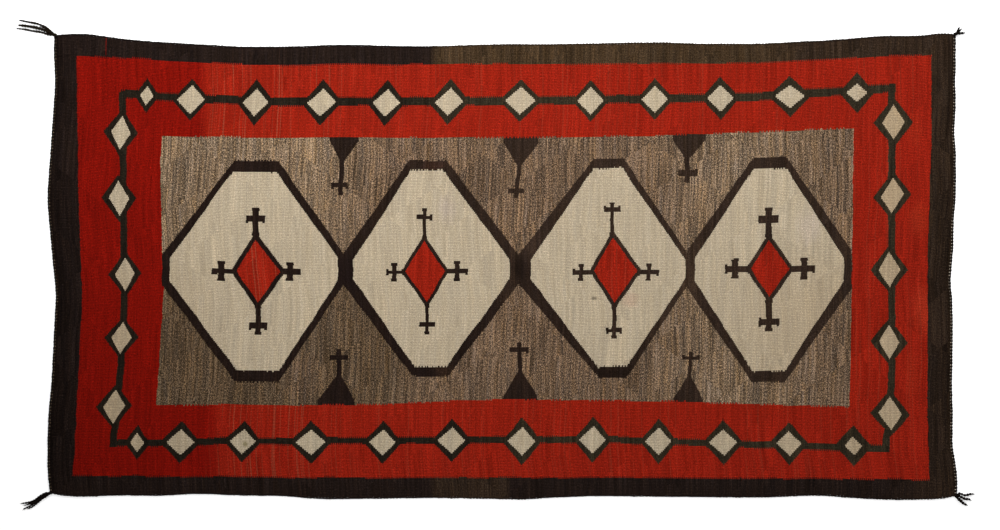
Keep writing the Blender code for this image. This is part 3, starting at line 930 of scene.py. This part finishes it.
# The strands of each tassel: the width of each, and its points from the corner outwards
TASSELS = {
    "far_left": [
        (7.6, [(-20, 18), (-41, 28), (-68, 34), (-93, 39)]),
        (11.0, [(-23, 11), (-45, 18), (-65, 22), (-95, 26)]),
        (7.6, [(-15, 1), (-35, 7), (-60, 11), (-80, 15), (-99, 17)]),
        (6.6, [(-12, 9), (-27, 19), (-38, 22)]),
    ],
    "near_left": [
        (7.4, [(-10, 0), (-22, -6), (-35, -16), (-50, -23), (-75, -27)]),
        (6.6, [(-10, -3), (-23, -9), (-36, -20), (-49, -27), (-66, -32)]),
        (7.4, [(-9, -5), (-24, -14), (-39, -26), (-52, -34), (-69, -42)]),
        (6.2, [(-7, -7), (-20, -15), (-34, -27), (-46, -36), (-57, -41)]),
    ],
    "far_right": [
        (7.6, [(4, 5), (6, 11), (10, 18)]),
        (7.2, [(5, 5), (9, 8), (15, 13)]),
        (8.2, [(6, 1), (14, 2), (24, 3)]),
    ],
    "near_right": [
        (8.0, [(6, 6), (21, 2), (28, 3), (35, 5), (45, 5)]),
        (8.4, [(6, 0), (16, -5), (23, -8), (31, -8), (37, -12)]),
        (10.4, [(1, -3), (10, -12), (20, -21), (27, -24)]),
    ],
}
TASSEL_TONES = {
    "far_left": (0.0110, 0.0072, 0.0036), "near_left": (0.0070, 0.0046, 0.0034),
    "far_right": (0.0070, 0.0050, 0.0036), "near_right": (0.0080, 0.0054, 0.0038),
}
PLY_TURN = 15.0
ROOT_IN = 6.0
HAIRS = 3

fray = np.random.default_rng(41)
for where, strands in TASSELS.items():
    corner = np.array(CORNERS[where], float)
    yarns = []

    # The knot, the cords' ends wound through each other
    t = np.linspace(0, 2 * math.pi, 110)
    knot = np.column_stack((
        corner[0] + (np.sin(t) + 2 * np.sin(2 * t)), corner[1] + (np.cos(t) - 2 * np.cos(2 * t)),
        3.2 - 1.2 * np.sin(3 * t),
    )) * MM
    yarns.append(twist(knot, 1.15 * MM, PLY_TURN * MM, 10))

    for order, (width, points_out) in enumerate(strands):
        start = -ROOT_IN * np.array(points_out[0]) / np.hypot(*points_out[0])
        route = np.array([tuple(start), (0.0, 0.0)] + points_out)
        length = np.hypot(*np.diff(route, axis=0).T).sum()
        share = np.linspace(0, 1, int(length / 0.9))
        walked = share * length
        thin = width / 2 * (1 - 0.10 * share - 0.45 * share**8) / 1.8
        thin *= 1 + 0.10 * np.sin(walked / 5.0 + order * 2)
        base = (1.5 + order * 0.5) * (1 - np.clip((walked - ROOT_IN) / SETTLE[where], 0, 1))
        line = np.column_stack((corner + along(route, share), base + thin * 1.35)) * MM
        yarns.append(twist(line, thin * MM, PLY_TURN * MM, 10, order * 1.3))

        # A few hairs stray from the tip
        tip, heading = line[-1], line[-1] - line[-4]
        heading = heading[:2] / np.linalg.norm(heading[:2])
        for _ in range(HAIRS):
            bend = fray.normal(0, 0.45)
            aim = np.array((
                heading[0] * math.cos(bend) - heading[1] * math.sin(bend),
                heading[0] * math.sin(bend) + heading[1] * math.cos(bend),
            ))
            run = np.linspace(0, fray.uniform(2.0, 4.5), 6)[:, None] * MM
            hair = tip[:2] + aim * run + heading * run**2 * 40
            hair = np.column_stack((hair, np.linspace(tip[2], 0.35 * MM, 6)))
            yarns.append(twist(hair, np.linspace(0.22, 0.08, 6) * MM, 3 * MM, 5))

    tassel = yarn_piece("tassel_" + where + "_yarn", yarns)
    tones = [(-1250, TASSEL_TONES[where]), (1250, TASSEL_TONES[where])]
    tassel.data.materials.append(cord_wool("tassel_wool_" + where, tones, tones))
    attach(tassel, "root")
    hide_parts("tassel_" + where)

# THE FLOOR AND THE LIGHT
# The rug lies on a plain white floor, under two wide soft lights, one from its left and a stronger one
# from beyond its far edge.
bpy.ops.object.select_all(action="DESELECT")
bpy.ops.mesh.primitive_plane_add(size=20.0, location=(0.0, 0.0, -0.0002))
floor = bpy.context.object
floor.name = "floor"
bpy.ops.object.transform_apply(location=True, rotation=True, scale=True)
paper = bpy.data.materials.new("white_floor")
paper.use_nodes = True
paper_shader = paper.node_tree.nodes["Principled BSDF"]
paper_shader.inputs["Base Color"].default_value = (0.9, 0.9, 0.9, 1)
paper_shader.inputs["Roughness"].default_value = 0.9
paper_shader.inputs["Emission Color"].default_value = (1, 1, 1, 1)
paper_shader.inputs["Emission Strength"].default_value = 0.6
floor.data.materials.append(paper)

# The room is pale round its walls and dimmer overhead
world = bpy.data.worlds.new("studio")
bpy.context.scene.world = world
world.use_nodes = True
room = world.node_tree
heading_out = add(room, "ShaderNodeTexCoord").outputs["Generated"]
skyward = add(room, "ShaderNodeSeparateXYZ", {0: heading_out}).outputs[2]
dimmed = remap(room, skyward, 0.04, 0.5, 0.95, 0.25, "SMOOTHSTEP")
room.nodes["Background"].inputs["Color"].default_value = (1, 1, 1, 1)
room.links.new(dimmed, room.nodes["Background"].inputs["Strength"])


def studio_light(name, place, aim, width, depth, power):
    """A soft box at a place, turned to where it is aimed."""
    bpy.ops.object.light_add(type="AREA", location=place)
    light = bpy.context.object
    light.name = name
    light.data.shape = "RECTANGLE"
    light.data.size = width
    light.data.size_y = depth
    light.data.energy = power
    light.rotation_euler = (Vector(aim) - Vector(place)).to_track_quat("-Z", "Y").to_euler()
    light.visible_camera = False


studio_light("soft_box_left", (-1.39, 0.71, 1.97), (3.4, 3.67, 0.0), 2.0, 1.2, 55.3)
studio_light("soft_box_far", (1.34, 3.59, 2.41), (0.6, 0.0, 0.0), 1.4, 1.4, 151.0)
